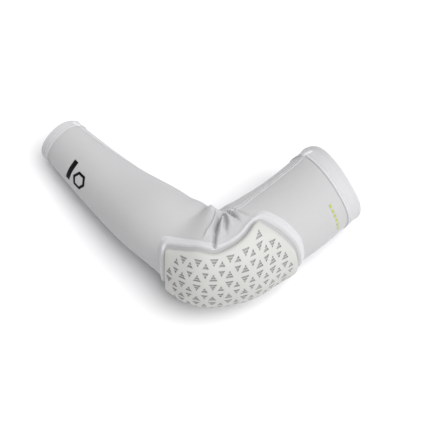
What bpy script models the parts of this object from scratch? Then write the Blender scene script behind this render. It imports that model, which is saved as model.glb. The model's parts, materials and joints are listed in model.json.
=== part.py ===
"""Padded elbow compression sleeve, filled to its worn shape and lying on its side, bent at the elbow.

The knit tube runs along a bent path in the XY plane: the forearm leg points to -X +Y, the upper arm
leg to +X +Y, and the moulded foam pad wraps the outside of the elbow, towards -Y. The sleeve is one
piece of cloth, cut here at two planes across X so that each leg can turn about the elbow.
Metres, +Z up, origin under the middle of the bounding box.
"""

import math

import bpy
from mathutils import Vector

MM = 0.001

# Pose of the bent tube
HALF_BEND = math.radians(43)        # each leg turns this much away from a straight arm
PIVOT = Vector((17.56, -10.99)) * MM   # the crook: the cross sections of the elbow fan out from here
HINGE_BELOW_CROOK = 58 * MM         # the elbow's axis, measured towards the pad
FAN = 36 * MM                       # length given to each half of the elbow fan along the path

# Tube, as distances from the crook line to its inner and outer walls
FOREARM_LENGTH = 216.6 * MM
UPPER_LENGTH = 140.6 * MM
FOREARM_STATIONS = (0, 40.6, 105.6, 216.6)
FOREARM_INNER = (0.5, 2.0, 11.4, 15.3)
FOREARM_OUTER = (91.5, 93.9, 89.0, 74.1)
UPPER_STATIONS = (0, 58, 140.6)
UPPER_INNER = (4.2, 8.2, 2.8)
UPPER_OUTER = (103.7, 108.6, 104.1)
CROOK_INNER = 1.5 * MM
CROOK_REACH = 11 * MM               # how far the crook's crease reaches into each leg
ELBOW_POINT = 8.3 * MM              # how far the point of the elbow stands out
ELBOW_FLAT = 3.8 * MM               # and how far it is flattened just past the point
ELBOW_FLAT_AT = 10 * MM
ELBOW_FLAT_REACH = 13 * MM
FLATNESS = 0.90                     # height of a section over its width
LIFT_WRIST = 1.35 * MM              # the tube's underside above the table at the wrist
LIFT_CUFF = 1.25 * MM               # at the upper hem
LIFT_ELBOW = 8.6 * MM               # and at the elbow, where the pad is underneath

# Cloth layers
KNIT = 1.0 * MM
HEM_THICKNESS = 2.0 * MM
HEM_STANDS = 0.6 * MM
FLARE = 0.9 * MM                    # how far a hem's end opens out
FLARE_LENGTH = 5 * MM
WRIST_HEM = 13 * MM
UPPER_HEM = 22 * MM
BAND_THICKNESS = 0.8 * MM
THREAD = 0.45 * MM
GAP = 0.3 * MM
SPLIT = 46 * MM                     # the cuts across X, on both sides of the crook
SPLIT_GAP = 0.5 * MM
SIDES = 30                          # facets round the tube

# Pad
PAD_THICKNESS = 8.6 * MM
PAD_EDGE = 1.6 * MM
PAD_CLEAR = 0.8 * MM                # under the pad, for the facets of the tube and of the pad
PAD_STATIONS = (-30, -20, -8, 4, 27, 50, 61, 68)        # along the path
PAD_WRAP = (47, 56, 63.5, 62, 72, 81, 56, 31)           # half of the pad's wrap, in degrees
PAD_BOW = 7.5                       # how far the forearm end of the pad is hollowed at its middle
PAD_SHARES = [-1 + j / 7 for j in range(15)]
RIM_RADIUS = 2.6 * MM
RIM_PATH = ((-26.5, 0), (-28.3, 22), (-34.5, 45), (-33, 56), (-21, 68), (-9, 73.5), (4, 72), (17, 80),
            (40, 88), (55, 90.5), (63, 83), (70, 58), (75.5, 34), (76, 18), (75, 0))

SEAM_WIDTH = 5.5 * MM
SEAM_STATIONS = (-252.6, -160, -75, -30, 0, 30, 52, 78, 102, 176.6)   # along the path
SEAM_ROUND = (133, 139, 142, 136, 126, 120, 120, 127, 130, 128)       # the seam's place round the tube


def colour(r, g, b):
    """An 8-bit screen colour as a linear one."""
    def linear(v):
        v /= 255
        return v / 12.92 if v <= 0.04045 else ((v + 0.055) / 1.055) ** 2.4
    return linear(r), linear(g), linear(b), 1.0


def through(x, places, values):
    """A smooth curve through the given values; x in metres, the places and values in millimetres."""
    xs = [p * MM for p in places]
    ys = [v * MM for v in values]
    slopes = [(ys[i + 1] - ys[i]) / (xs[i + 1] - xs[i]) for i in range(len(xs) - 1)]
    ends = [slopes[0]] + [(a + b) / 2 for a, b in zip(slopes, slopes[1:])] + [slopes[-1]]
    i = max(0, min(len(xs) - 2, sum(x > v for v in xs) - 1))
    span = xs[i + 1] - xs[i]
    t = (x - xs[i]) / span
    return (ys[i] * (1 + 2 * t) * (1 - t) ** 2 + ends[i] * span * t * (1 - t) ** 2
            + ys[i + 1] * t * t * (3 - 2 * t) + ends[i + 1] * span * t * t * (t - 1))


def between(x, places, values):
    """Straight lines between the given values."""
    i = max(0, min(len(places) - 2, sum(x > v for v in places) - 1))
    t = (x - places[i]) / (places[i + 1] - places[i])
    return values[i] + (values[i + 1] - values[i]) * min(1, max(0, t))


def walls(s):
    """Distance from the crook line to the tube's inner and outer wall, at path place s."""
    leg = max(0, abs(s) - FAN)
    if s < -FAN:
        inner = through(leg, FOREARM_STATIONS, FOREARM_INNER)
        outer = through(leg, FOREARM_STATIONS, FOREARM_OUTER)
    elif s > FAN:
        inner = through(leg, UPPER_STATIONS, UPPER_INNER)
        outer = through(leg, UPPER_STATIONS, UPPER_OUTER)
    else:
        t = (s + FAN) / (2 * FAN)
        ease = t * t * (3 - 2 * t)
        inner = CROOK_INNER
        outer = (FOREARM_OUTER[0] + (UPPER_OUTER[0] - FOREARM_OUTER[0]) * ease) * MM
        outer += ELBOW_POINT * math.sin(math.pi * t) ** 2
    outer -= ELBOW_FLAT * math.exp(-((s - ELBOW_FLAT_AT) / ELBOW_FLAT_REACH) ** 2)
    crease = math.exp(-(leg / CROOK_REACH) ** 2)
    return inner + (CROOK_INNER - inner) * crease, outer


def skin(s, degrees, off=0.0):
    """A point on the tube's surface, at path place s and an angle round it, moved outwards by off.
    The angle is 0 at the outside of the bend, 90 on top and 180 at the crook."""
    inner, outer = walls(s)
    turn = max(-1, min(1, s / FAN)) * HALF_BEND
    leg = math.copysign(max(0, abs(s) - FAN), s)
    out = Vector((math.sin(turn), -math.cos(turn)))
    along = Vector((math.cos(turn), math.sin(turn)))
    half = (outer - inner) / 2
    high = half * FLATNESS
    length, end = (FOREARM_LENGTH, LIFT_WRIST) if s < 0 else (UPPER_LENGTH, LIFT_CUFF)
    lift = LIFT_ELBOW + (end - LIFT_ELBOW) * min(1, abs(leg) / length)
    angle = math.radians(degrees)
    flat = PIVOT + out * ((inner + outer) / 2 + (half + off) * math.cos(angle)) + along * leg
    return Vector((flat.x, flat.y, high + lift + (high + off) * math.sin(angle)))


def place_at(x, degrees):
    """The path place where the tube's surface, at an angle round it, crosses the plane across X."""
    low, high = -FAN - FOREARM_LENGTH, FAN + UPPER_LENGTH
    for _ in range(40):
        middle = (low + high) / 2
        if skin(middle, degrees).x < x + PIVOT.x:
            low = middle
        else:
            high = middle
    return (low + high) / 2


# Objects

for item in list(bpy.data.objects):
    bpy.data.objects.remove(item)
model = bpy.data.collections.new("padded_elbow_sleeve")
bpy.context.scene.collection.children.link(model)


def material(name, rgb, roughness):
    made = bpy.data.materials.new(name)
    made.use_nodes = True
    shader = made.node_tree.nodes["Principled BSDF"]
    shader.inputs["Base Color"].default_value = colour(*rgb)
    shader.inputs["Roughness"].default_value = roughness
    shader.inputs["Metallic"].default_value = 0.0
    made.diffuse_color = colour(*rgb)
    return made


def body(name):
    empty = bpy.data.objects.new(name, None)
    empty.location = (PIVOT.x, PIVOT.y - HINGE_BELOW_CROOK, 0)
    model.objects.link(empty)
    return empty


upper_arm, forearm = body("body_upper_arm"), body("body_forearm")
bpy.context.view_layer.update()


def add(name, data, surface, parent):
    made = bpy.data.objects.new(name, data)
    data.materials.append(surface)
    model.objects.link(made)
    made.parent = parent
    made.matrix_parent_inverse = parent.matrix_world.inverted()
    return made


def loft(name, rows, thickness, surface, parent, ring=False, edge=0.0):
    """A sheet lofted through rows of points, made solid outwards. The rows of a ring close on
    themselves. Points are given from the forearm towards the upper arm."""
    count = len(rows[0])
    steps = count if ring else count - 1
    faces = [(i * count + j, (i + 1) * count + j,
              (i + 1) * count + (j + 1) % count, i * count + (j + 1) % count)
             for i in range(len(rows) - 1) for j in range(steps)]
    mesh = bpy.data.meshes.new(name)
    mesh.from_pydata([p for row in rows for p in row], [], faces)
    made = add(name, mesh, surface, parent)
    solid = made.modifiers.new("Thickness", "SOLIDIFY")
    solid.thickness = thickness
    solid.offset = 1
    solid.use_even_offset = True
    solid.use_quality_normals = True
    if edge:
        bevel = made.modifiers.new("Edge", "BEVEL")
        bevel.width = edge
        bevel.segments = 2
        bevel.limit_method = "ANGLE"
        bevel.angle_limit = math.radians(50)
    mesh.shade_smooth()
    return made


def steps(start, end, longest):
    """Evenly spaced values from start to end, no further apart than longest."""
    count = max(1, math.ceil(abs(end - start) / longest - 1e-9))
    return [start + (end - start) * i / count for i in range(count + 1)]


AROUND = [360 * i / SIDES for i in range(SIDES)]


def band(name, profile, surface, parent):
    """A closed profile of (path place, offset) pairs carried round the tube. Its end is flat."""
    count = len(profile)
    mesh = bpy.data.meshes.new(name)
    mesh.from_pydata([skin(s, a, off) for a in AROUND for s, off in profile], [],
                     [(i * count + j, i * count + (j + 1) % count,
                       ((i + 1) % SIDES) * count + (j + 1) % count, ((i + 1) % SIDES) * count + j)
                      for i in range(SIDES) for j in range(count)])
    mesh.shade_smooth()
    return add(name, mesh, surface, parent)


def tube(name, start, end, rows, off, thickness, surface, parent):
    """A length of the tube. start and end are path places, or functions of the angle."""
    def at(value, degrees):
        return value(degrees) if callable(value) else value
    points = []
    for i in range(rows + 1):
        t = i / rows
        points.append([skin(at(start, a) * (1 - t) + at(end, a) * t, a, off) for a in AROUND])
    return loft(name, points, thickness, surface, parent, ring=True)


def strip(name, start, end, spacing, low, high, across, off, thickness, surface, parent, edge=0.0):
    """A patch of the surface between two path places; low and high are its edges round the tube."""
    points = [[skin(s, low(s) + (high(s) - low(s)) * j / across, off) for j in range(across + 1)]
              for s in steps(start, end, spacing)]
    return loft(name, points, thickness, surface, parent, edge=edge)


def thread(name, points, radius, surface, parent, closed=False, roundness=1):
    """A round bead through the points."""
    curve = bpy.data.curves.new(name, "CURVE")
    curve.dimensions = "3D"
    curve.bevel_depth = radius
    curve.bevel_resolution = roundness
    curve.use_fill_caps = True
    line = curve.splines.new("POLY")
    line.points.add(len(points) - 1)
    for point, place in zip(line.points, points):
        point.co = (*place, 1)
    line.use_cyclic_u = closed
    return add(name, curve, surface, parent)


knit = material("knit", (197, 197, 198), 0.75)
knit_upper = material("knit_upper", (214, 214, 216), 0.72)
hem_cloth = material("hem_cloth", (212, 212, 214), 0.8)
elastic = material("elastic", (205, 205, 207), 0.7)
silicone = material("silicone", (226, 228, 230), 0.35)
sewing = material("sewing_thread", (224, 224, 227), 0.6)
foam = material("pad_foam", (223, 223, 220), 0.55)
lining = material("lining", (196, 196, 198), 0.85)
welt = material("rim_welt", (200, 200, 205), 0.7)
black_print = material("black_print", (24, 24, 26), 0.5)
lime_print = material("lime_print", (205, 216, 92), 0.5)
label_cloth = material("label", (236, 236, 234), 0.6)

# The knit tube: two legs and the elbow between the two cuts

WRIST = -FAN - FOREARM_LENGTH
CUFF = FAN + UPPER_LENGTH


def cut(x):
    places = {a: place_at(x, a) for a in AROUND}
    return lambda degrees: places[degrees]


tube("forearm_sleeve", WRIST + WRIST_HEM + GAP, cut(-SPLIT - SPLIT_GAP), 11, -KNIT, KNIT,
     knit, forearm)
tube("elbow_sleeve", cut(-SPLIT + SPLIT_GAP), cut(SPLIT - SPLIT_GAP), 14, -KNIT, KNIT,
     knit, upper_arm)
tube("upper_arm_sleeve", cut(SPLIT + SPLIT_GAP), CUFF - UPPER_HEM - GAP, 6, -KNIT, KNIT,
     knit_upper, upper_arm)

# Hems, folded double, with a band inside and two rows of stitching

hem_off = HEM_STANDS - HEM_THICKNESS
band_off = hem_off - GAP - BAND_THICKNESS
band("wrist_hem", ((WRIST, hem_off + FLARE), (WRIST, HEM_STANDS + FLARE),
                   (WRIST + FLARE_LENGTH, HEM_STANDS), (WRIST + WRIST_HEM, HEM_STANDS),
                   (WRIST + WRIST_HEM, hem_off), (WRIST + FLARE_LENGTH, hem_off)),
     hem_cloth, forearm)
tube("wrist_elastic", WRIST + 1.5 * MM, WRIST + WRIST_HEM - 1.5 * MM, 1, band_off, BAND_THICKNESS,
     elastic, forearm)
band("upper_arm_hem", ((CUFF - UPPER_HEM, hem_off), (CUFF - UPPER_HEM, HEM_STANDS),
                       (CUFF - FLARE_LENGTH, HEM_STANDS), (CUFF, HEM_STANDS + FLARE),
                       (CUFF, hem_off + FLARE), (CUFF - FLARE_LENGTH, hem_off)),
     hem_cloth, upper_arm)
tube("upper_arm_grip_band", CUFF - UPPER_HEM + 4 * MM, CUFF - 4 * MM, 1, band_off, BAND_THICKNESS,
     silicone, upper_arm)


def stitching(name, s, parent):
    off = HEM_STANDS + GAP + THREAD
    thread(name, [skin(s, a, off) for a in AROUND], THREAD, sewing, parent, closed=True)


stitching("wrist_hem_stitching_inner", WRIST + WRIST_HEM - 1.8 * MM, forearm)
stitching("wrist_hem_stitching_outer", WRIST + WRIST_HEM - 5.0 * MM, forearm)
stitching("upper_hem_stitching_inner", CUFF - UPPER_HEM + 1.8 * MM, upper_arm)
stitching("upper_hem_stitching_outer", CUFF - UPPER_HEM + 5.0 * MM, upper_arm)

# The flatlock seam that closes the tube, beside the crook


def seam_angle(s):
    return through(s, SEAM_STATIONS, SEAM_ROUND) / MM


def seam_half(s):
    inner, outer = walls(s)
    return math.degrees(SEAM_WIDTH / (outer - inner))


def seam(name, start, end, spacing, surface, parent):
    strip(name, start, end, spacing, lambda s: seam_angle(s) - seam_half(s),
          lambda s: seam_angle(s) + seam_half(s), 2, 2 * GAP, 0.7 * MM, surface, parent)


def seam_cut(x):
    s = 0
    for _ in range(12):
        s = place_at(x, seam_angle(s))
    return s


seam("forearm_seam", WRIST + WRIST_HEM + 2 * GAP, seam_cut(-SPLIT) - 2 * MM, 12 * MM, sewing, forearm)
seam("elbow_seam", seam_cut(-SPLIT) + 2 * MM, seam_cut(SPLIT) - 2 * MM, 5 * MM, sewing, upper_arm)
seam("upper_arm_seam", seam_cut(SPLIT) + 2 * MM, CUFF - UPPER_HEM - 2 * GAP, 12 * MM, sewing, upper_arm)


def tack(name, start, end, parent):
    """The thick spot where the seam's end is sewn into the hem."""
    strip(name, start, end, 6 * MM, lambda s: seam_angle(s) - seam_half(s) * 1.3,
          lambda s: seam_angle(s) + seam_half(s) * 1.3, 2, HEM_STANDS + 2 * GAP + 2 * THREAD + GAP,
          1.4 * MM, sewing, parent, edge=0.4 * MM)


tack("wrist_hem_tack", WRIST + 1.5 * MM, WRIST + WRIST_HEM - 0.5 * MM, forearm)
tack("upper_hem_tack", CUFF - UPPER_HEM + 0.5 * MM, CUFF - 8 * MM, upper_arm)

# The moulded foam pad, one block with two lobes


def wrap(s):
    return between(s / MM, PAD_STATIONS, PAD_WRAP)


def pad_row(t):
    """Points across the pad; t runs from its forearm end to its upper arm end."""
    row = []
    for share in PAD_SHARES:
        start = PAD_STATIONS[0] + PAD_BOW * (1 - share * share)
        s = (start + (PAD_STATIONS[-1] - start) * t) * MM
        row.append(skin(s, share * wrap(s), PAD_CLEAR))
    return row


loft("foam_pad", [pad_row(t) for t in steps(0, 1, 1 / 20)], PAD_THICKNESS, foam, upper_arm,
     edge=PAD_EDGE)

strip("pad_backing", -30 * MM, 64 * MM, 6 * MM, lambda s: -wrap(s) + 4, lambda s: wrap(s) - 4, 10,
      -KNIT - 2.2 * MM, 0.6 * MM, lining, upper_arm)

# The raised welt round the pad


def rim_place(t):
    """A smooth path through RIM_PATH on the upper side; t runs from 0 to its last index."""
    i = min(len(RIM_PATH) - 2, int(t))
    u = t - i
    mirrored = [(RIM_PATH[1][0], -RIM_PATH[1][1]), *RIM_PATH, (RIM_PATH[-2][0], -RIM_PATH[-2][1])]
    a, b, c, d = mirrored[i:i + 4]
    return [0.5 * (2 * b[k] + (c[k] - a[k]) * u + (2 * a[k] - 5 * b[k] + 4 * c[k] - d[k]) * u * u
                   + (3 * b[k] - a[k] - 3 * c[k] + d[k]) * u ** 3) for k in (0, 1)]


def rim_point(t, side):
    s, degrees = rim_place(t)
    return skin(s * MM, side * degrees, RIM_RADIUS + PAD_CLEAR)


end = len(RIM_PATH) - 1
half_way = [rim_point(t, 1) for t in steps(0, end, 0.45)]
back = [rim_point(t, -1) for t in steps(0, end, 0.45)]
thread("pad_rim", half_way + back[-2:0:-1], RIM_RADIUS, welt, upper_arm, closed=True, roundness=2)

# Prints: a plain bar and a hexagon ring near the wrist, lime dashes near the upper hem

PRINT_OFF, PRINT = 2 * GAP, 0.25 * MM
strip("wrist_print_bar", -198 * MM, -191 * MM, 5 * MM, lambda s: 14, lambda s: 60, 8, PRINT_OFF,
      PRINT, black_print, forearm)


def hexagon_ring(name, s, degrees, radius, width, surface, parent):
    inner, outer = walls(s)
    to_degrees = math.degrees(2 / (outer - inner))
    points = []
    for size in (radius, radius - width):
        points.append([skin(s + size * math.cos(math.radians(60 * k)),
                            degrees - size * math.sin(math.radians(60 * k)) * to_degrees, PRINT_OFF)
                       for k in range(6)])
    loft(name, points, PRINT, surface, parent, ring=True)


hexagon_ring("wrist_print_ring", -176 * MM, 33, 11.5 * MM, 4 * MM, black_print, forearm)
for i in range(6):
    middle = 48 - 8 * i
    strip(f"cuff_print_dash_{i + 1}", 135.2 * MM, 138.6 * MM, 4 * MM, lambda s: middle - 2.4,
          lambda s: middle + 2.4, 1, PRINT_OFF, PRINT, lime_print, upper_arm)

# The care label, sewn flat inside the upper hem, with nothing printed on it
strip("care_label", CUFF - UPPER_HEM - 26 * MM, CUFF - UPPER_HEM - 3 * MM, 12 * MM, lambda s: 186,
      lambda s: 206, 2, -KNIT - 1.6 * MM, 0.4 * MM, label_cloth, upper_arm)
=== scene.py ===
"""Padded elbow compression sleeve: its knit, hems, stitching and moulded pad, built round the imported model.

Every piece is laid on one surface, the skin of the filled sleeve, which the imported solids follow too.
A point of the skin is a place along the bent path and an angle round the tube: 0 at the outside of
the bend, 90 on top and 180 at the crook. Lengths are in millimetres and angles in degrees until a
mesh is made, and meshes are in metres.
"""

import json
import math

import bpy
import numpy as np
from mathutils import Matrix, Vector
from mathutils.geometry import delaunay_2d_cdt


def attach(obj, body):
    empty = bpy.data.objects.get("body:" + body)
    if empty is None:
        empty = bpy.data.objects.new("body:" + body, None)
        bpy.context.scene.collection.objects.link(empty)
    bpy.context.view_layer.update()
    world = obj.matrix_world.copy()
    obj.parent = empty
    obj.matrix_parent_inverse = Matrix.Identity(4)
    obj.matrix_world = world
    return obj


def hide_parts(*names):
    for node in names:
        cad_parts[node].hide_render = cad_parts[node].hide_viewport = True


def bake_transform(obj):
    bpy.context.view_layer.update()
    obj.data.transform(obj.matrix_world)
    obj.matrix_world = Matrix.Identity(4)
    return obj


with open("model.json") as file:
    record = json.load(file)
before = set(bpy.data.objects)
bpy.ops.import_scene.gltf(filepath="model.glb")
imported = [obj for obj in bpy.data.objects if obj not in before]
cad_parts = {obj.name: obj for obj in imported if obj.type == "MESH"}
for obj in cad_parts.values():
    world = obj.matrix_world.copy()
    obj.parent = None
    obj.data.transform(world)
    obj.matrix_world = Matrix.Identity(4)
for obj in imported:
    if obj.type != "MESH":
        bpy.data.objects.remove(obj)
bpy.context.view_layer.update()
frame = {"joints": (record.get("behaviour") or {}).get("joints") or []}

MM = 0.001
CLOTH_MAP = "cloth"

# The bent tube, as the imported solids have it
HINGE = np.array(frame["joints"][0]["pos_m"]) / MM
HINGE_BELOW_CROOK = 58
CROOK = HINGE[:2] + (0, HINGE_BELOW_CROOK)
HALF_BEND = 43
FAN = 36
FOREARM_LENGTH, UPPER_LENGTH = 216.6, 140.6
FOREARM_STATIONS = (0, 40.6, 105.6, 216.6)
FOREARM_INNER = (0.5, 2.0, 11.4, 15.3)
FOREARM_OUTER = (91.5, 93.9, 89.0, 74.1)
UPPER_STATIONS = (0, 58, 140.6)
UPPER_INNER = (4.2, 8.2, 2.8)
UPPER_OUTER = (103.7, 108.6, 104.1)
CROOK_INNER = 1.5
CROOK_REACH = 11
ELBOW_POINT = 8.3
ELBOW_FLAT, ELBOW_FLAT_AT, ELBOW_FLAT_REACH = 3.8, 10, 13
FLATNESS = 0.90
LIFT_WRIST, LIFT_CUFF, LIFT_ELBOW = 1.35, 1.25, 8.6
WRIST, CUFF = -FAN - FOREARM_LENGTH, FAN + UPPER_LENGTH
WRIST_HEM, UPPER_HEM = 13, 22
CORNER_FROM = 90                    # where the pull on the upper hem's corner starts
CORNER_OUT, CORNER_IN = (4, 125, 28), (3, 50, 30)    # each: how far, and the angle and its reach

# Pad
PAD_TOP = 9.4                       # height of its face over the skin
PAD_STATIONS = (-30, -20, -8, 4, 27, 50, 61, 68)
PAD_WRAP = (47.5, 56.5, 64, 62, 73, 84, 57, 31)
PAD_BOW = 7                         # how far its forearm end is hollowed at the middle

# Seam
SEAM_STATIONS = (WRIST, -160, -75, -30, 0, 30, 52, 78, 102, CUFF)
SEAM_ROUND = (133, 139, 142, 136, 126, 120, 120, 127, 130, 128)
SEAM_WIDTH = 5.5


# Surface

def through(x, places, values):
    """A smooth curve through the given values."""
    places, values = np.array(places, float), np.array(values, float)
    slopes = np.diff(values) / np.diff(places)
    ends = np.concatenate([slopes[:1], (slopes[1:] + slopes[:-1]) / 2, slopes[-1:]])
    i = np.clip(np.searchsorted(places, x) - 1, 0, len(places) - 2)
    span = places[i + 1] - places[i]
    t = (x - places[i]) / span
    return (values[i] * (1 + 2 * t) * (1 - t) ** 2 + ends[i] * span * t * (1 - t) ** 2
            + values[i + 1] * t * t * (3 - 2 * t) + ends[i + 1] * span * t * t * (t - 1))


def smoothstep(x, low, high):
    t = np.clip((x - low) / (high - low), 0, 1)
    return t * t * (3 - 2 * t)


def bell(x, middle, reach):
    """1 at the middle, falling smoothly on both sides."""
    return np.exp(-((x - middle) / reach) ** 2)


def walls(s):
    """Distance from the crook line to the tube's inner and outer wall."""
    leg = np.maximum(0, np.abs(s) - FAN)
    t = np.clip((s + FAN) / (2 * FAN), 0, 1)
    elbow = FOREARM_OUTER[0] + (UPPER_OUTER[0] - FOREARM_OUTER[0]) * smoothstep(t, 0, 1)
    elbow = elbow + ELBOW_POINT * np.sin(np.pi * t) ** 2
    inner = np.select([s < -FAN, s > FAN], [through(leg, FOREARM_STATIONS, FOREARM_INNER),
                                           through(leg, UPPER_STATIONS, UPPER_INNER)], CROOK_INNER)
    outer = np.select([s < -FAN, s > FAN], [through(leg, FOREARM_STATIONS, FOREARM_OUTER),
                                           through(leg, UPPER_STATIONS, UPPER_OUTER)], elbow)
    outer = outer - ELBOW_FLAT * bell(s, ELBOW_FLAT_AT, ELBOW_FLAT_REACH)
    return inner + (CROOK_INNER - inner) * bell(leg, 0, CROOK_REACH), outer


def skin(s, degrees, off=0.0):
    """Points of the tube's surface, moved outwards by off. The upper hem's corner is pulled out."""
    s, degrees, off = np.broadcast_arrays(np.asarray(s, float), degrees, off)
    pull = CORNER_OUT[0] * bell(degrees, *CORNER_OUT[1:]) - CORNER_IN[0] * bell(degrees, *CORNER_IN[1:])
    s = s + smoothstep(s, CORNER_FROM, CUFF) * pull
    inner, outer = walls(s)
    turn = np.radians(np.clip(s / FAN, -1, 1) * HALF_BEND)
    leg = np.sign(s) * np.maximum(0, np.abs(s) - FAN)
    half = (outer - inner) / 2
    high = half * FLATNESS
    share = np.abs(leg) / np.where(s < 0, FOREARM_LENGTH, UPPER_LENGTH)
    lift = LIFT_ELBOW + (np.where(s < 0, LIFT_WRIST, LIFT_CUFF) - LIFT_ELBOW) * np.minimum(1, share)
    angle = np.radians(degrees)
    reach = (inner + outer) / 2 + (half + off) * np.cos(angle)
    return np.stack([CROOK[0] + np.sin(turn) * reach + np.cos(turn) * leg,
                     CROOK[1] - np.cos(turn) * reach + np.sin(turn) * leg,
                     high + lift + (high + off) * np.sin(angle)], -1)


def seam_angle(s):
    return through(s, SEAM_STATIONS, SEAM_ROUND)


# Relief of the knit: folds that run from the crook, and the pull of the seams

# Each fold: its points (place, angle), half its width, its height, and the share of its length over
# which it fades in and out
TOP_FOLDS = (
    (((20, 131), (13, 121), (3.5, 104), (-2.5, 91), (-5.5, 79)), 1.5, 2.8, (0.12, 0.3)),
    (((20.5, 130), (14.8, 117), (6, 99), (0.5, 83)), 1.5, -3.8, (0.12, 0.45)),
    (((23, 129), (19.6, 119), (10, 104.8), (6, 91.4), (4.4, 79.3), (3.8, 68)), 1.8, -7.0, (0.1, 0.06)),
    (((25, 129), (21.5, 116), (15, 103), (11.5, 92), (9, 80)), 2.0, 1.8, (0.12, 0.35)),
    (((28, 129), (24.9, 117.4), (19.8, 102.2), (17.3, 93.2), (15.3, 80)), 2.1, -5.4, (0.1, 0.6)),
    (((31, 127), (29.5, 114), (26.5, 102), (24, 91)), 2.2, 1.8, (0.12, 0.4)),
    (((34, 129), (36.5, 118.2), (36.7, 106.1), (34.9, 88)), 1.6, -6.0, (0.1, 0.6)),
    (((38, 126), (41.5, 114), (42.5, 104), (41.5, 94)), 2.2, 1.6, (0.15, 0.4)),
    (((40, 127), (44.5, 116), (47.8, 105.3), (50.8, 96.6), (55, 87)), 1.6, -3.2, (0.15, 0.6)),
    (((-2, 150), (-12, 138), (-24, 122), (-32, 106)), 3.2, -1.0, (0.3, 0.6)),
)


FOLD_NEAR = 60                      # points further than this from a fold are left out of it


def fold_height(points, folds):
    """Height of the folds at skin points."""
    total = np.zeros(len(points))
    for path, width, height, (fade_in, fade_out) in folds:
        ticks = np.linspace(0, len(path) - 1, 40)
        s = through(ticks, range(len(path)), [p[0] for p in path])
        a = through(ticks, range(len(path)), [p[1] for p in path])
        line = skin(s, a)
        near = np.abs(points - line.mean(0)).max(1) < FOLD_NEAR
        gap = np.linalg.norm(points[near, None] - line[None], axis=2)
        nearest = gap.argmin(1)
        t = nearest / (len(ticks) - 1)
        reach = smoothstep(t, 0, fade_in) * (1 - smoothstep(t, 1 - fade_out, 1))
        total[near] += height * reach * np.exp(-(gap[np.arange(len(gap)), nearest] / width) ** 2)
    return total


def mirrored(folds):
    """The folds of the hidden side, a little different from those on top."""
    return tuple((tuple((0.93 * s - 2, 360 - a) for s, a in path), width * 1.1, height * 0.9, fades)
                 for path, width, height, fades in folds)


FOLDS = TOP_FOLDS + mirrored(TOP_FOLDS)

# Broad swells, by their height
CROOK_RIPPLE = 0.4
FOREARM_BUNCH = 7                   # the cloth pushed up on the forearm's side of the crook
UPPER_HOLLOW = 5                    # and drawn in on the upper arm's side
FOREARM_HOLLOW = 1.8
DRAPE = 0.35
# Where the seam lifts each hem's stitched edge: the place, the height, and the reach along the path
HEM_LIFTS = ((WRIST + WRIST_HEM + 1, 0.9, 6), (CUFF - UPPER_HEM + 2, 2.4, 9))
HEM_LIFT_WIDE = 11


def relief(s, degrees):
    """How far the worn knit stands off the smooth skin."""
    s, degrees = np.broadcast_arrays(np.asarray(s, float), np.asarray(degrees, float))
    height = fold_height(skin(s, degrees).reshape(-1, 3), FOLDS).reshape(s.shape)
    around = 180 - np.abs(degrees - 180)
    ripple = bell(around, 180, 40) * bell(s, 6, 22) * np.sin(2 * np.pi * s / 11)
    bunch = smoothstep(s, -66, -34) * smoothstep(-s, -34, 0) * bell(around, 138, 22)
    height = height + CROOK_RIPPLE * ripple + FOREARM_BUNCH * bunch
    height = height - UPPER_HOLLOW * bell(s, 38, 8) * bell(around, 148, 24)
    height = height - FOREARM_HOLLOW * bell(around, 135, 32) * smoothstep(-s, 40, 90)
    away = np.abs((degrees - seam_angle(s) + 180) % 360 - 180)
    for place, tall, reach in HEM_LIFTS:
        height = height + tall * bell(s, place, reach) * bell(away, 0, HEM_LIFT_WIDE)
    drape = np.sin(s / 23 + np.radians(degrees) * 2) * np.sin(np.radians(degrees) * 3 - s / 61 + 1.1)
    return height + DRAPE * drape * smoothstep(np.abs(s), 50, 110)


# Meshes

def new_object(name, points, faces, surfaces, uv=None, smooth_below=None):
    """An object from points in millimetres. surfaces are its materials, uv one pair a face corner."""
    mesh = bpy.data.meshes.new(name)
    mesh.from_pydata((np.asarray(points) * MM).tolist(), [], np.asarray(faces).tolist())
    for surface in surfaces:
        mesh.materials.append(surface)
    if uv is not None:
        mesh.uv_layers.new(name=CLOTH_MAP).data.foreach_set("uv", np.asarray(uv, np.float32).ravel())
    mesh.shade_smooth()
    if smooth_below:
        mesh.set_sharp_from_angle(angle=math.radians(smooth_below))
    made = bpy.data.objects.new(name, mesh)
    bpy.context.scene.collection.objects.link(made)
    return made


def grid(name, s, a, off, surface, rows_close=False, columns_close=False, scale=(1.0, 0.85)):
    """A sheet of quads through skin points, given as arrays of rows and columns. Its map holds the
    path place and the way round, in millimetres."""
    points = skin(s, a, off)
    s, a = np.broadcast_arrays(np.asarray(s, float), np.asarray(a, float))
    rows, columns = points.shape[:2]
    i, j = (x.ravel() for x in np.meshgrid(np.arange(rows - (not rows_close)),
                                           np.arange(columns - (not columns_close)), indexing="ij"))
    k, m = (i + 1) % rows, (j + 1) % columns
    corners = ((i, j), (k, j), (k, m), (i, m))
    faces = np.stack([row * columns + column for row, column in corners], 1)
    round_it = a + np.zeros_like(s)
    uv = []
    for row, column in corners:
        angle = round_it[row, column]
        angle = np.where((column == 0) & (j == columns - 1) & columns_close, angle + 360, angle)
        uv.append(np.stack([s[row, column] * scale[0], angle * scale[1]], -1))
    return new_object(name, points.reshape(-1, 3), faces, [surface], np.stack(uv, 1))


def thicken(piece, thickness):
    """A cloth's inner face and its rim, as a mesh of its own, inwards from the outer face."""
    solid = piece.modifiers.new("Thickness", "SOLIDIFY")
    solid.thickness = thickness * MM
    solid.offset = -1
    apply_modifiers(piece)
    return piece


def apply_modifiers(piece):
    evaluated = piece.evaluated_get(bpy.context.evaluated_depsgraph_get())
    mesh = bpy.data.meshes.new_from_object(evaluated)
    piece.modifiers.clear()
    piece.data = mesh


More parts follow.
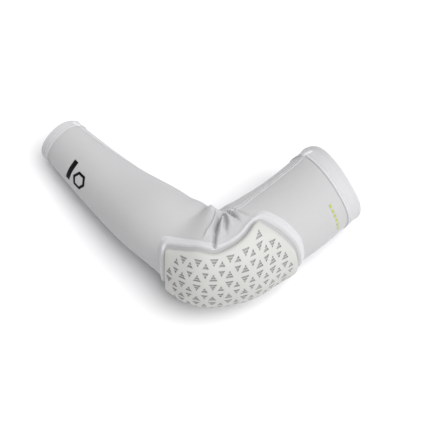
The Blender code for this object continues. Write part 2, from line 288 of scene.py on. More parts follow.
def beads(name, centres, along, up, length, radius, surface):
    """Short round-ended stitches, one at each centre, joined in one object. A stitch is a point, three
    rings and a point, and it sags towards its ends."""
    sides = 6
    ring = np.radians(np.arange(sides) * 360 / sides)
    stations = np.array((-0.5, -0.38, 0, 0.38, 0.5)) * length
    girths = np.array((0.0, 0.85, 1.0, 0.85, 0.0)) * radius
    side = np.cross(along, up)
    points, faces = [], []
    for station, girth in zip(stations, girths):
        sag = up * (-0.9 * radius * (2 * station / length) ** 2)
        if girth:
            for angle in ring:
                points.append(centres + along * station + sag
                              + girth * (side * math.cos(angle) + up * math.sin(angle)))
        else:
            points.append(centres + along * station + sag)
    points = np.stack(points, 1)
    count = points.shape[1]
    last_ring = count - 1 - sides
    for k in range(sides):
        n = (k + 1) % sides
        faces.append((0, 1 + k, 1 + n))
        faces.append((count - 1, last_ring + n, last_ring + k))
        for row in (1, 1 + sides):
            faces.append((row + k, row + sides + k, row + sides + n))
            faces.append((row + k, row + sides + n, row + n))
    faces = np.array(faces)
    all_faces = (np.arange(len(points)) * count)[:, None, None] + faces[None]
    return new_object(name, points.reshape(-1, 3), all_faces.reshape(-1, 3), [surface])


def stitches_along(name, s, a, off, pitch, length, radius, surface):
    """A row of stitches laid along a line on the skin, given by fine arrays of places and angles."""
    line = skin(s, a, off)
    out = skin(s, a, off + 1.0) - line
    run = np.concatenate([[0], np.cumsum(np.linalg.norm(np.diff(line, axis=0), axis=1))])
    spots = np.arange(pitch / 2, run[-1], pitch)

    def at(where, values):
        return np.stack([np.interp(where, run, values[:, k]) for k in range(3)], 1)

    centres, up = at(spots, line), at(spots, out)
    along = at(spots + 0.5, line) - at(spots - 0.5, line)
    along /= np.linalg.norm(along, axis=1, keepdims=True)
    up -= along * (up * along).sum(1, keepdims=True)
    up /= np.linalg.norm(up, axis=1, keepdims=True)
    return beads(name, centres, along, up, length, radius, surface)


# Materials

def linear(r, g, b):
    """An 8-bit screen colour as a linear one."""
    def one(v):
        v /= 255
        return v / 12.92 if v <= 0.04045 else ((v + 0.055) / 1.055) ** 2.4
    return one(r), one(g), one(b), 1.0


class Surface:
    """A material whose nodes are added one call at a time."""

    def __init__(self, name, rgb, roughness, **sockets):
        self.material = bpy.data.materials.new(name)
        self.material.use_nodes = True
        self.tree = self.material.node_tree
        self.shader = self.tree.nodes["Principled BSDF"]
        self.colour = linear(*rgb)
        self.shader.inputs["Base Color"].default_value = self.colour
        self.shader.inputs["Roughness"].default_value = roughness
        for socket, value in sockets.items():
            self.shader.inputs[socket.replace("_", " ")].default_value = value

    def node(self, kind, inputs=(), **settings):
        made = self.tree.nodes.new("ShaderNode" + kind)
        for setting, value in settings.items():
            setattr(made, setting, value)
        for key, value in dict(inputs).items():
            if isinstance(value, bpy.types.NodeSocket):
                self.tree.links.new(value, made.inputs[key])
            else:
                made.inputs[key].default_value = value
        return made

    def maths(self, operation, first, second=0.0):
        return self.node("Math", {0: first, 1: second}, operation=operation).outputs[0]

    def cloth(self):
        """The map's two coordinates, in millimetres of cloth."""
        parts = self.node("SeparateXYZ", {0: self.node("UVMap", uv_map=CLOTH_MAP).outputs[0]})
        return parts.outputs[0], parts.outputs[1]

    def noise(self, scale, detail=2.0, stretch=None, roughness=0.5):
        where = self.node("TexCoord").outputs["Object"]
        if stretch:
            u, v = self.cloth()
            where = self.node("CombineXYZ", {0: self.maths("MULTIPLY", u, stretch[0]),
                                             1: self.maths("MULTIPLY", v, stretch[1])}).outputs[0]
        return self.node("TexNoise", {"Vector": where, "Scale": scale, "Detail": detail,
                                      "Roughness": roughness}).outputs["Fac"]

    def vary(self, amount, *fields):
        """Multiplies the colour by 1 plus or minus amount, by the mean of fields that run from 0 to 1."""
        total = fields[0]
        for field in fields[1:]:
            total = self.maths("ADD", total, field)
        spread = self.node("MapRange", {"Value": total, "From Min": 0.25 * len(fields),
                                        "From Max": 0.75 * len(fields), "To Min": 1 - amount,
                                        "To Max": 1 + amount}, clamp=False).outputs[0]
        return self.node("VectorMath", {0: self.colour[:3], "Scale": spread},
                         operation="SCALE").outputs[0]

    def set_colour(self, socket):
        self.tree.links.new(socket, self.shader.inputs["Base Color"])

    def set_roughness(self, low, high, field):
        ranged = self.node("MapRange", {"Value": field, "From Min": 0.3, "From Max": 0.7,
                                        "To Min": low, "To Max": high}).outputs[0]
        self.tree.links.new(ranged, self.shader.inputs["Roughness"])

    def bump(self, height, distance, strength=1.0, normal=None):
        inputs = {"Height": height, "Distance": distance * MM, "Strength": strength}
        if normal is not None:
            inputs["Normal"] = normal
        return self.node("Bump", inputs).outputs[0]

    def set_normal(self, socket):
        self.tree.links.new(socket, self.shader.inputs["Normal"])

    def stitches(self, wale, course):
        """Height of a plain knit: columns of V-shaped loops, with the loops' spacing in millimetres."""
        u, v = self.cloth()
        across = self.maths("ABSOLUTE", self.maths("SUBTRACT", self.maths(
            "FRACT", self.maths("DIVIDE", v, wale)), 0.5))
        phase = self.maths("ADD", self.maths("DIVIDE", u, course), across)
        loops = self.maths("SINE", self.maths("MULTIPLY", phase, 2 * math.pi))
        column = self.maths("SINE", self.maths("MULTIPLY", across, 2 * math.pi))
        return self.maths("ADD", self.maths("MULTIPLY", loops, 0.35), column)


def knit_material(name, rgb, wale=0.9, course=0.8, streak=0.02, roughness=(0.62, 0.78)):
    made = Surface(name, rgb, 0.7, Sheen_Weight=0.25, Sheen_Roughness=0.35, Specular_IOR_Level=0.35)
    loops = made.stitches(wale, course)
    lengthwise = made.noise(1.0, 3.0, stretch=(0.016, 0.55))
    blotches = made.noise(22.0, 3.0)
    made.set_colour(made.vary(streak, lengthwise, blotches))
    made.set_roughness(*roughness, blotches)
    soft = made.bump(made.noise(260.0, 4.0), 0.25, 0.35)
    made.set_normal(made.bump(loops, 0.09, 0.5, soft))
    return made.material


def thread_material(name, rgb):
    made = Surface(name, rgb, 0.5, Sheen_Weight=0.3, Sheen_Roughness=0.3)
    twist = made.node("TexWave", {"Vector": made.node("TexCoord").outputs["Object"], "Scale": 900.0,
                                  "Distortion": 1.5, "Detail": 1.0}, bands_direction="DIAGONAL")
    made.set_colour(made.vary(0.04, twist.outputs["Fac"]))
    made.set_normal(made.bump(twist.outputs["Fac"], 0.12, 0.5))
    return made.material


def foam_material(name, rgb, mottle=0.012):
    made = Surface(name, rgb, 0.5, Specular_IOR_Level=0.4)
    pores = made.noise(1900.0, 3.0, roughness=0.65)
    made.set_colour(made.vary(mottle, made.noise(30.0, 4.0)))
    made.set_roughness(0.42, 0.58, made.noise(55.0, 3.0))
    swell = made.bump(made.noise(90.0, 2.0), 0.35, 0.25)
    made.set_normal(made.bump(pores, 0.05, 0.4, swell))
    return made.material


def print_material(name, rgb):
    made = Surface(name, rgb, 0.6, Specular_IOR_Level=0.1)
    made.set_colour(made.vary(0.12, made.noise(500.0, 3.0)))
    made.set_normal(made.bump(made.stitches(0.9, 0.8), 0.05, 0.4))
    return made.material


def silicone_material(name, rgb):
    made = Surface(name, rgb, 0.3, Specular_IOR_Level=0.5, Coat_Weight=0.2)
    made.set_colour(made.vary(0.02, made.noise(60.0)))
    made.set_normal(made.bump(made.noise(700.0, 2.0), 0.08, 0.3))
    return made.material


knit = knit_material("sleeve_knit", (180, 180, 181))
hem_knit = knit_material("hem_knit", (190, 190, 192), wale=1.0, course=1.4, streak=0.035)
# The welt round the pad: the sleeve's knit made lighter, a painted highlight on its raised bead
welt_knit_painted_highlight = knit_material("welt_knit_painted_highlight", (196, 196, 198), streak=0.05)
# The groove at the pad's foot: the sleeve's knit made darker, painted shade
groove_knit_painted_shade = knit_material("groove_knit_painted_shade", (170, 170, 171), streak=0.05)
lining = knit_material("lining_mesh", (198, 198, 200), wale=1.6, course=1.6)
elastic = knit_material("elastic_band", (206, 206, 208), wale=2.2, course=0.7)
sewing = thread_material("sewing_thread", (220, 220, 223))
pad_skin = foam_material("pad_skin", (187, 187, 184))
# The bars' sunk floors and walls: the pad's foam made darker, painted shade in the recesses
pad_recess_painted_shade = foam_material("pad_recess_painted_shade", (146, 146, 146), 0.03)
silicone = silicone_material("silicone", (226, 228, 230))
black_print = print_material("black_print", (8, 8, 9))
lime_print = print_material("lime_print", (172, 180, 92))
label_cloth = knit_material("label_satin", (236, 236, 234), wale=0.5, course=0.5)


# The sleeve: one sheet from hem to hem, finer at the elbow

def graded(*stretches):
    """Places from (start, end, step) stretches that follow each other."""
    places = [np.arange(start, end, step) for start, end, step in stretches]
    return np.concatenate([*places, [stretches[-1][1]]])


KNIT = 0.7                          # thickness
UNDER_HEM = 0.8                     # how far the sleeve drops to pass inside its hems
rows = graded((WRIST + 3, WRIST + 22, 1.7), (WRIST + 22, -48, 3.6), (-48, -30, 1.4), (-30, 48, 0.68),
              (48, 80, 1.4), (80, CUFF - 32, 3.0), (CUFF - 32, CUFF - 3, 1.7))[:, None]
half_round = graded((0, 60, 2.6), (60, 150, 1.5), (150, 180, 2.6))[:-1]
sleeve_round = np.concatenate([half_round, 360 - half_round[:0:-1]])[None]
under_hem = (smoothstep(-rows, -WRIST - WRIST_HEM + 0.2, -WRIST - WRIST_HEM + 2)
             + smoothstep(rows, CUFF - UPPER_HEM + 0.2, CUFF - UPPER_HEM + 2))
sleeve = thicken(grid("sleeve", rows, sleeve_round, relief(rows, sleeve_round) - UNDER_HEM * under_hem,
                      knit, columns_close=True), KNIT)


# Hems, folded double

AROUND = np.arange(220) * 360 / 220
HEM_INSIDE, HEM_OUTSIDE = -1.4, 0.6     # heights of a hem's two faces over the skin
HEM_FLARE = 0.9                     # how far the folded edge stands out
HEM_TURN = 5                        # length of the fold at the edge
HEM_RIDGE = 0.45                    # height of the ridge beside the stitching
HEM_SCALLOP = 0.12                  # ripples that the stitches draw in its outer face


def hem(name, profile):
    """A closed profile of (path place, offset) pairs carried round the tube."""
    place, height = (column[:, None] for column in np.array(profile).T)
    s = place + 0 * AROUND
    scallop = HEM_SCALLOP * np.sin(np.radians(AROUND * 90)) * (height > 0)
    return grid(name, s, AROUND[None], height + relief(s, AROUND[None]) + scallop, hem_knit,
                rows_close=True, columns_close=True)


def fold_profile(edge, stitched):
    """A hem's section: out along its inner face, round the fold at the edge, and back along its outer
    face to the stitched end."""
    way = 1 if stitched > edge else -1
    radius = (HEM_OUTSIDE - HEM_INSIDE) / 2
    middle = (HEM_INSIDE + HEM_OUTSIDE) / 2 + HEM_FLARE
    turn = edge + way * HEM_TURN
    points = [(stitched, HEM_INSIDE)]
    for t in np.linspace(0, 1, 7):
        points.append((stitched + (turn - stitched) * t, HEM_INSIDE))
    for angle in np.radians(np.linspace(-90, 90, 9)):
        points.append((edge + way * radius * (1 - math.cos(angle)), middle + radius * math.sin(angle)))
    for t in np.linspace(0, 1, 9):
        points.append((turn + (stitched - turn) * t, HEM_OUTSIDE + HEM_RIDGE * bell(t, 1, 0.16)))
    points.append((stitched + way * 0.35, 0.25))
    return points if way < 0 else points[::-1]


wrist_hem = hem("wrist_cuff", fold_profile(WRIST, WRIST + WRIST_HEM))
upper_hem = hem("upper_cuff", fold_profile(CUFF, CUFF - UPPER_HEM))

# Each row of stitches: pitch, length, radius, and height over the relief
HEM_STITCH, HEM_STITCH_HEIGHT = (3.1, 2.4, 0.32), 0.95
SEAM_STITCH, SEAM_STITCH_HEIGHT = (2.6, 2.1, 0.34), 0.68

fine_round = np.linspace(0, 360, 721)
hem_rows = []
for label, s in (("wrist_hem_stitches_inner", WRIST + WRIST_HEM - 1.8),
                 ("wrist_hem_stitches_outer", WRIST + WRIST_HEM - 5.0),
                 ("upper_hem_stitches_inner", CUFF - UPPER_HEM + 1.8),
                 ("upper_hem_stitches_outer", CUFF - UPPER_HEM + 5.0)):
    places = s + 0 * fine_round
    off = relief(places, fine_round) + HEM_STITCH_HEIGHT
    hem_rows.append(stitches_along(label, places, fine_round, off, *HEM_STITCH, sewing))


# The flatlock seam

# Its section: the share of half its width from its middle, and the height there
SEAM_ACROSS = (-1, -0.86, -0.72, -0.56, -0.4, 0, 0.5, 0.8, 0.92, 1)
SEAM_RISE = (-0.5, 0.5, 0.85, 0.85, 0.45, 0.35, 0.35, 0.45, 0.2, -0.5)
SEAM_STITCH_ACROSS = 0.66


def beside_seam(s, across):
    """Angles at a share of half the seam's width from its middle."""
    inner, outer = walls(s)
    return seam_angle(s) + across * np.degrees(SEAM_WIDTH / (outer - inner))


seam_start, seam_end = WRIST + WRIST_HEM - 0.5, CUFF - UPPER_HEM + 0.5
seam_s = np.arange(seam_start, seam_end, 1.5)[:, None]
seam_a = beside_seam(seam_s, np.array(SEAM_ACROSS)[None])
seam = grid("flatlock_seam", seam_s, seam_a, np.array(SEAM_RISE)[None] + relief(seam_s, seam_a), knit)

seam_line = np.arange(seam_start + 1, seam_end - 1, 0.75)
seam_rows = []
for side, label in ((-1, "seam_stitches_lower"), (1, "seam_stitches_upper")):
    a = beside_seam(seam_line, side * SEAM_STITCH_ACROSS)
    off = relief(seam_line, a) + SEAM_STITCH_HEIGHT
    seam_rows.append(stitches_along(label, seam_line, a, off, *SEAM_STITCH, sewing))


# The pad's flat pattern: x runs along the outside of the arm, y round it, both in millimetres

ROUND_MM = 1.03                     # y of one degree
PAD_MIDDLE, PAD_HALF = 52, 58       # the section's middle and half width at the pad's face


def fan_scale(degrees):
    """x of one unit of path inside the elbow's fan."""
    return (PAD_MIDDLE + PAD_HALF * np.cos(np.radians(degrees))) * math.radians(HALF_BEND) / FAN


def to_flat(s, degrees):
    inside = np.clip(s, -FAN, FAN)
    return np.stack([inside * fan_scale(degrees) + s - inside, degrees * ROUND_MM], -1)


def to_skin(flat):
    degrees = flat[..., 1] / ROUND_MM
    reach = FAN * fan_scale(degrees)
    inside = np.clip(flat[..., 0], -reach, reach)
    return inside / fan_scale(degrees) + flat[..., 0] - inside, degrees


def resampled(points, step):
    """A closed line with its points the same step apart."""
    ring = np.vstack([points, points[:1]])
    run = np.concatenate([[0], np.cumsum(np.linalg.norm(np.diff(ring, axis=0), axis=1))])
    spots = np.linspace(0, run[-1], round(run[-1] / step), endpoint=False)
    return np.stack([np.interp(spots, run, ring[:, k]) for k in range(2)], 1)


def rounded(points, reach):
    """A closed line with its corners rounded, by a running mean over reach points each way."""
    weights = np.hanning(2 * reach + 3)[1:-1]
    weights /= weights.sum()
    return sum(w * np.roll(points, k - reach, axis=0) for k, w in enumerate(weights))


def pad_outline():
    """The pad's edge as a closed line in the flat pattern, clockwise, its points 1.2 mm apart."""
    edge_s = np.concatenate([np.linspace(a, b, 12, endpoint=False)
                             for a, b in zip(PAD_STATIONS, PAD_STATIONS[1:])] + [[PAD_STATIONS[-1]]])
    edge_a = np.interp(edge_s, PAD_STATIONS, PAD_WRAP)
    share = np.linspace(-1, 1, 40)
    start = np.stack([PAD_STATIONS[0] + PAD_BOW * (1 - share ** 2), share * PAD_WRAP[0]], 1)
    end = np.stack([0 * share + PAD_STATIONS[-1], -share * PAD_WRAP[-1]], 1)
    upper = np.stack([edge_s, edge_a], 1)
    lower = np.stack([edge_s[::-1], -edge_a[::-1]], 1)
    ring = np.vstack([start[:-1], upper[:-1], end[:-1], lower[:-1]])
    return rounded(resampled(to_flat(ring[:, 0], ring[:, 1]), 1.2), 6)


def outward(ring, reach):
    """Unit vectors pointing out of a closed line, smoothed over reach points each way. The line runs
    clockwise."""
    along = np.roll(ring, -1, axis=0) - np.roll(ring, 1, axis=0)
    out = np.stack([-along[:, 1], along[:, 0]], 1)
    out /= np.linalg.norm(out, axis=1, keepdims=True)
    out = rounded(out, reach)
    return out / np.linalg.norm(out, axis=1, keepdims=True)


def edge_gap(points, ring):
    """Distance from each point to a closed line, positive inside it."""
    gaps, crossings = np.full(len(points), np.inf), np.zeros(len(points), int)
    for p, q in zip(ring, np.roll(ring, -1, axis=0)):
        d = q - p
        t = np.clip(((points - p) @ d) / (d @ d), 0, 1)
        gaps = np.minimum(gaps, np.linalg.norm(points - p - t[:, None] * d, axis=1))
        if p[1] != q[1]:
            beside = (points[:, 1] < p[1]) != (points[:, 1] < q[1])
            crossing = p[0] + (points[:, 1] - p[1]) / (q[1] - p[1]) * d[0]
            crossings += beside & (points[:, 0] < crossing)
    return np.where(crossings % 2 == 1, gaps, -gaps)


outline = pad_outline()

# The moulded pattern: diamonds of two triangles, each triangle a stack of bars sunk into the face, their
# floors and walls coloured darker as painted shade
PATTERN_AT = (6.5, 2.0)
COLUMN, ROW = 17.2, 29.2
LARGE, SMALL = 9.0, 7.2
TRIANGLE_GAP = 4.4
BAR_GAP = 0.7
BAR_DEPTH = 1.0
BAR_WALL = 0.28                     # how far a bar's sides slope in
PATTERN_MARGIN = 4.0
SIXTY = math.sqrt(3) / 2            # height of an equal-sided triangle of side 1
RISE_AT = (-80, -45, -30, 6, 25, 41, 56, 77, 115)
RISE = (-9, -7, -4, 0, 2.8, 5, 4, -1, -6)      # the rows aren't quite square to the arm


def triangles():
    """Corners of the pattern's triangles in the flat pattern, each with its point towards +y or -y."""
    found = []
    for size, shift in ((LARGE, 0.0), (SMALL, 0.5)):
        tall = size * SIXTY
        for i in range(-8, 9):
            for j in range(-4, 4):
                x = PATTERN_AT[0] + (i + shift) * COLUMN
                y = PATTERN_AT[1] + (j + shift) * ROW + float(through(x, RISE_AT, RISE))
                for way in (-1, 1):
                    base = y + way * TRIANGLE_GAP / 2
                    found.append((x, base, size, way * tall))
    corners = np.array([[(x - size / 2, base), (x + size / 2, base), (x, base + tall)]
                        for x, base, size, tall in found])
    clear = edge_gap(corners.reshape(-1, 2), outline).reshape(-1, 3).min(1) > PATTERN_MARGIN
    return [item for item, kept in zip(found, clear) if kept]


def bars(x, base, size, tall):
    """The bars of one triangle as (corners at the pad's face, corners at the floor)."""
    count = 3 if size == LARGE else 2
    pitch = (abs(tall) + BAR_GAP) / count
    made = []
    for k in range(count):
        low, high = k * pitch, k * pitch + pitch - BAR_GAP
        loops = []
        for inset in (0.0, BAR_WALL):
            l, h = low + inset, high - inset
            wide_l = size / 2 * (1 - l / abs(tall)) - inset * 1.5
            wide_h = max(0.25, size / 2 * (1 - h / abs(tall)) - inset * 1.5)
            way = math.copysign(1, tall)
            loops.append([(x - wide_l, base + way * l), (x + wide_l, base + way * l),
                          (x + wide_h, base + way * h), (x - wide_h, base + way * h)])
        made.append(loops)
    return made


def pad_height(gap):
    """Height of the pad's face, by the distance inside its outline."""
    inside = np.maximum(gap, 0)
    return (PAD_TOP - 3.4 * np.maximum(0, 1 - inside / 3.6) ** 2.4 - 0.7 * np.exp(-inside / 12)
            + 0.5 * smoothstep(inside, 5, 30))


def hexagonal(step, margin):
    """Points in a triangular pattern, inside the outline by margin."""
    low, high = outline.min(0), outline.max(0)
    rows_y = np.arange(low[1], high[1], step * SIXTY)
    points = np.array([(x + step / 2 * (k % 2), y) for k, y in enumerate(rows_y)
                       for x in np.arange(low[0], high[0], step)])
    return points[edge_gap(points, outline) > margin]


def loop_edges(first, count):
    return [(first + k, first + (k + 1) % count) for k in range(count)]


def triangulated(points, edges):
    """Faces of a constrained triangulation, anticlockwise, as indices of the given points."""
    _, _, faces, origin, _, _ = delaunay_2d_cdt([Vector(p) for p in points], edges, [], 1, 1e-5)
    return [[origin[i][0] for i in face] for face in faces]


PAD_BEVEL = (0.0, 0.45, 1.1, 2.0, 3.1)      # insets of the loops that carry the face's rounded edge
# Loops down the pad's side: how far out of the outline, and the height over the skin
PAD_SKIRT = ((0.25, 4.4), (0.45, 2.2), (0.5, 0.2), (0.3, -0.9))
FACE_STEP, BASE_STEP = 1.9, 6.0     # spacing of the points that fill the pad's face and its base
BAR_CLEAR = 0.9                     # room left between those points and the bars' corners


def clear_of_bars(fill, corners):
    """The fill points that are neither near a bar's corner nor inside a triangle."""
    clear = np.full(len(fill), True)
    for start in range(0, len(fill), 500):
        part = fill[start:start + 500]
        gap = np.linalg.norm(part[:, None] - corners[None], axis=2).min(1)
        clear[start:start + 500] = gap > BAR_CLEAR
    for x, base, size, tall in triangles():
        up = (fill[:, 1] - base) * math.copysign(1, tall)
        half = size / 2 * (1 - up / abs(tall))
        clear &= ~((up > -0.5) & (up < abs(tall) + 0.5) & (np.abs(fill[:, 0] - x) < half + 0.5))
    return fill[clear]


def make_pad():
    out = outward(outline, 2)
    loops = [outline - out * inset for inset in PAD_BEVEL]
    count = len(outline)
    points = [p for loop in loops for p in loop]
    edges = [e for k in range(len(loops)) for e in loop_edges(k * count, count)]
    deep = [False] * len(points)
    shapes = [loop for item in triangles() for pair in bars(*item) for loop in enumerate(pair)]
    for level, corners in shapes:
        edges += loop_edges(len(points), len(corners))
        points += corners
        deep += [level == 1] * len(corners)
    fill = clear_of_bars(hexagonal(FACE_STEP, 4.2), np.array([p for _, shape in shapes for p in shape]))
    points += list(fill)
    deep += [False] * len(fill)
    flat = np.array(points, float)
    deep = np.array(deep)
    faces = triangulated(flat, edges)
    gap = edge_gap(flat, outline)
    gap[:count] = 0
    height = pad_height(gap) - BAR_DEPTH * deep
    top = len(flat)

    ring_flat = [outline + out * draft for draft, _ in PAD_SKIRT]
    base_fill = hexagonal(BASE_STEP, 5.0)
    base = np.vstack([ring_flat[-1], base_fill])
    base_faces = triangulated(base, loop_edges(0, count))
    flat = np.vstack([flat, *ring_flat, base_fill])
    height = np.concatenate([height, *[np.full(count, h) for _, h in PAD_SKIRT],
                             np.full(len(base_fill), PAD_SKIRT[-1][1])])
    side_faces = []
    for k in range(len(PAD_SKIRT)):
        upper = 0 if k == 0 else top + (k - 1) * count
        lower = top + k * count
        for i in range(count):
            n = (i + 1) % count
            side_faces += [(upper + i, upper + n, lower + n), (upper + i, lower + n, lower + i)]
    start = top + (len(PAD_SKIRT) - 1) * count
    floor_faces = [tuple(start + i for i in face[::-1]) for face in base_faces]
    deep = np.concatenate([deep, np.zeros(len(flat) - top, bool)])

    s, a = to_skin(flat)
    faces = [tuple(f[::-1]) for f in faces] + side_faces + [f[::-1] for f in floor_faces]
    made = new_object("moulded_pad", skin(s, a, height), faces, [pad_skin, pad_recess_painted_shade],
                      smooth_below=38)
    # Faces that touch a bar's floor get the darker foam: painted shade in the recesses
    made.data.polygons.foreach_set("material_index", [int(any(deep[i] for i in f)) for f in faces])
    return made


pad = make_pad()


# The cloth round the pad: a groove at the pad's foot, coloured darker as painted shade, then a soft welt,
# coloured lighter as a painted highlight

RIM_SECTION = ((-1.2, 1.2), (0.3, 1.6), (1.7, 1.6), (3.2, 1.7), (4.7, 1.9), (5.6, 2.6), (6.6, 3.3),
               (7.8, 3.6), (9.0, 3.3), (10.2, 2.5), (11.4, 1.6), (12.7, 0.9), (14.1, 0.3), (15.6, -0.4))
RIM_GROOVE = 4                      # of the section's first strips, those that are in the groove


def make_rim():
    ring = rounded(outline, 3)
    out = outward(ring, 13)
    reach = np.array([d for d, _ in RIM_SECTION])
    rise = np.array([h for _, h in RIM_SECTION])
    flat = ring[:, None] + out[:, None] * reach[None, :, None]
    s, a = to_skin(flat)
    # The welt gets the lighter knit, a painted highlight
    made = grid("pad_welt", s, a, rise[None] + relief(s, a), welt_knit_painted_highlight, rows_close=True)
    made.data.materials.append(groove_knit_painted_shade)
    strips = len(RIM_SECTION) - 1
    # Strips in the groove get the darker knit: painted shade
    groove_shade_faces = [int(k % strips < RIM_GROOVE) for k in range(len(made.data.polygons))]
    made.data.polygons.foreach_set("material_index", groove_shade_faces)
    return made


rim = make_rim()


# Inside: the backing behind the pad, the elastic, the grip band and the care label

def patch(name, start, end, low, high, off, surface, thickness):
    """A cloth between two places, from angle low to high, which are functions of the place."""
    s = np.linspace(start, end, round((end - start) / 2.5) + 1)[:, None]
    share = np.linspace(0, 1, 40)[None]
    a = low(s) + (high(s) - low(s)) * share
    return thicken(grid(name, s, a, off, surface), thickness)


def pad_wrap(s):
    return np.interp(s, PAD_STATIONS, PAD_WRAP)


backing = patch("pad_backing_cloth", -30, 64, lambda s: 4 - pad_wrap(s), lambda s: pad_wrap(s) - 4,
                -2.6, lining, 0.6)


def inner_band(name, start, end, surface):
    s = np.linspace(start, end, 7)[:, None]
    return thicken(grid(name, s, AROUND[None], -1.7, surface, columns_close=True), 0.8)


wrist_elastic = inner_band("wrist_elastic_band", WRIST + 2.5, WRIST + WRIST_HEM - 1.5, elastic)
grip = inner_band("silicone_grip_band", CUFF - UPPER_HEM + 4, CUFF - 4, silicone)
care_label = patch("blank_care_label", CUFF - UPPER_HEM - 26, CUFF - UPPER_HEM - 3,
                   lambda s: 186 + 0 * s, lambda s: 206 + 0 * s, -1.8, label_cloth, 0.3)


# Bar tacks where the seam meets the hems

def tack(name, start, end):
    s = np.linspace(start, end, 16)[:, None]
    across = np.linspace(-1, 1, 13)[None]
    a = beside_seam(s, 1.15 * across)
    t = (s - start) / (end - start)
    dome = (1 - across ** 6) * (1 - (2 * t - 1) ** 8)
    off = 0.4 + 0.8 * dome + 0.12 * np.cos(across * 18) * dome
    return grid(name, s, a, off + relief(s, a), sewing)


wrist_tack = tack("wrist_tack", WRIST + 2.5, WRIST + WRIST_HEM + 1)
upper_tack = tack("upper_tack", CUFF - UPPER_HEM - 1, CUFF - 9)


# Prints, on the surface of the knit: a plain bar, a hexagon ring, and a row of lime dashes

PRINT_HEIGHT, PRINT_THICKNESS = 0.14, 0.1
DASH_START, DASH_END = 135.2, 138.6
FIRST_DASH, DASH_PITCH, DASH_HALF = 48, 8, 2.4      # degrees


def print_patch(name, start, end, low, high, surface):
    s = np.linspace(start, end, 6)[:, None]
    a = np.linspace(low, high, max(4, round(abs(high - low) / 1.5)))[None]
    return thicken(grid(name, s, a, PRINT_HEIGHT + relief(s, a), surface), PRINT_THICKNESS)


def hexagon_ring(name, s, degrees, radius, width, surface):
    inner, outer = walls(np.array(float(s)))
    turn = np.arange(0, 360, 5)
    flat_side = math.cos(math.radians(30)) / np.cos(np.radians((turn % 60) - 30))
    sizes = np.linspace(radius, radius - width, 4)[:, None] * flat_side[None]
    places = s + sizes * np.cos(np.radians(turn))[None]
    angles = degrees - sizes * np.sin(np.radians(turn))[None] * np.degrees(2 / (outer - inner))
    ring = grid(name, places, angles, PRINT_HEIGHT + relief(places, angles), surface, columns_close=True)
    return thicken(ring, PRINT_THICKNESS)


print_bar = print_patch("print_bar", -198, -191, 14, 60, black_print)
print_ring = hexagon_ring("print_ring", -176, 33, 11.5, 4, black_print)
dashes = []
for i in range(6):
    middle = FIRST_DASH - DASH_PITCH * i
    dashes.append(print_patch(f"print_dash_{i + 1}", DASH_START, DASH_END, middle - DASH_HALF,
                              middle + DASH_HALF, lime_print))


# Bodies and replaced nodes


def settle(piece, nodes=(), body=None):
    """Hides the imported parts that a piece stands in for, and makes it ride on a body or else bakes its
    place into its mesh.
    """
    if nodes:
        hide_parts(*nodes)
    if body:
        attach(piece, body)
    else:
        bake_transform(piece)


settle(sleeve, ("forearm_sleeve", "elbow_sleeve", "upper_arm_sleeve"))
settle(seam, ("forearm_seam", "elbow_seam", "upper_arm_seam"))
for row in seam_rows:
    settle(row)
settle(pad, ("foam_pad",))
settle(rim, ("pad_rim",))
settle(backing, ("pad_backing",))
settle(wrist_hem, ("wrist_hem",), "forearm")
settle(upper_hem, ("upper_arm_hem",), "upper_arm")
settle(wrist_elastic, ("wrist_elastic",), "forearm")
settle(grip, ("upper_arm_grip_band",), "upper_arm")
settle(care_label, ("care_label",), "upper_arm")
for row, node in zip(hem_rows, ("wrist_hem_stitching_inner", "wrist_hem_stitching_outer",
                                "upper_hem_stitching_inner", "upper_hem_stitching_outer")):
    settle(row, (node,), "forearm" if node.startswith("wrist") else "upper_arm")
settle(wrist_tack, ("wrist_hem_tack",), "forearm")
settle(upper_tack, ("upper_hem_tack",), "upper_arm")
settle(print_bar, ("wrist_print_bar",), "forearm")
settle(print_ring, ("wrist_print_ring",), "forearm")
for i, dash in enumerate(dashes):
    settle(dash, (f"cuff_print_dash_{i + 1}",), "upper_arm")


# Floor, light and camera

def floor_material():
    made = Surface("floor", (240, 240, 241), 0.6)
    made.set_colour(made.vary(0.004, made.noise(3.0)))
    return made.material


FLOOR_HALF = 8                      # metres
floor_mesh = bpy.data.meshes.new("floor")
floor_mesh.from_pydata([(x * FLOOR_HALF, y * FLOOR_HALF, 0) for x, y in ((-1, -1), (1, -1), (1, 1), (-1, 1))],
                       [], [(0, 1, 2, 3)])
floor_mesh.materials.append(floor_material())
floor = bpy.data.objects.new("floor", floor_mesh)
bpy.context.scene.collection.objects.link(floor)


def distant_light(name, direction, softness, strength):
    data = bpy.data.lights.new(name, "SUN")
    data.angle = math.radians(softness)
    data.energy = strength
    made = bpy.data.objects.new(name, data)
    made.rotation_euler = Vector(direction).to_track_quat("Z", "Y").to_euler()
    bpy.context.scene.collection.objects.link(made)


distant_light("key", (0.8, -0.35, 1.75), 60, 3.4)
distant_light("fill", (-0.9, 1.5, 1.2), 45, 0.3)

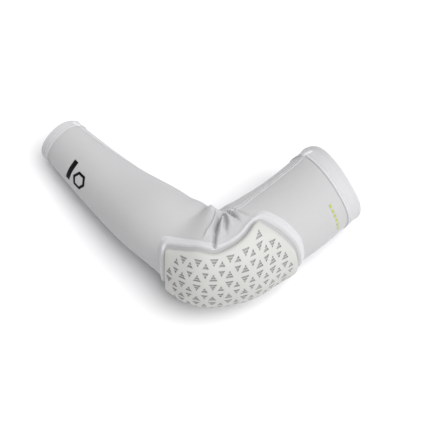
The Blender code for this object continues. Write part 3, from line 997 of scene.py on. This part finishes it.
# The sky is bright near the horizon, by the sine of the height there, and dimmer overhead
SKY_LOW, SKY_HIGH = 0.95, 0.34
SKY_LOW_AT, SKY_HIGH_AT = 0.05, 0.3
world = bpy.data.worlds.new("studio")
world.use_nodes = True
sky = world.node_tree
height = sky.nodes.new("ShaderNodeSeparateXYZ")
glow = sky.nodes.new("ShaderNodeMapRange")
for socket, value in (("From Min", SKY_LOW_AT), ("From Max", SKY_HIGH_AT),
                      ("To Min", SKY_LOW), ("To Max", SKY_HIGH)):
    glow.inputs[socket].default_value = value
sky.links.new(sky.nodes.new("ShaderNodeTexCoord").outputs["Generated"], height.inputs[0])
sky.links.new(height.outputs["Z"], glow.inputs["Value"])
sky.links.new(glow.outputs["Result"], sky.nodes["Background"].inputs["Strength"])
sky.nodes["Background"].inputs["Color"].default_value = (1, 1, 1, 1)
bpy.context.scene.world = world
bpy.context.scene.view_settings.view_transform = "Standard"

CAMERA_ELEVATION = math.radians(58)
CAMERA_ROLL = math.radians(3)
CAMERA_DISTANCE = 1.25
CAMERA_LENS, CAMERA_SENSOR = 90.84, 36
CAMERA_TARGET = Vector((0.01756, -0.02399, 0.0436))
TARGET_OFF_CENTRE = 0.00576, 0.0161

level, climb = Vector((1, 0, 0)), Vector((0, math.sin(CAMERA_ELEVATION), math.cos(CAMERA_ELEVATION)))
right = level * math.cos(CAMERA_ROLL) + climb * math.sin(CAMERA_ROLL)
up = climb * math.cos(CAMERA_ROLL) - level * math.sin(CAMERA_ROLL)
back = right.cross(up)
place = CAMERA_TARGET + right * TARGET_OFF_CENTRE[0] + up * TARGET_OFF_CENTRE[1] + back * CAMERA_DISTANCE
camera_data = bpy.data.cameras.new("camera")
camera_data.lens = CAMERA_LENS
camera_data.sensor_width = CAMERA_SENSOR
camera_data.clip_start = 0.05
camera = bpy.data.objects.new("camera", camera_data)
camera.matrix_world = Matrix((right, up, back)).transposed().to_4x4()
camera.location = place
bpy.context.scene.collection.objects.link(camera)
bpy.context.scene.camera = camera
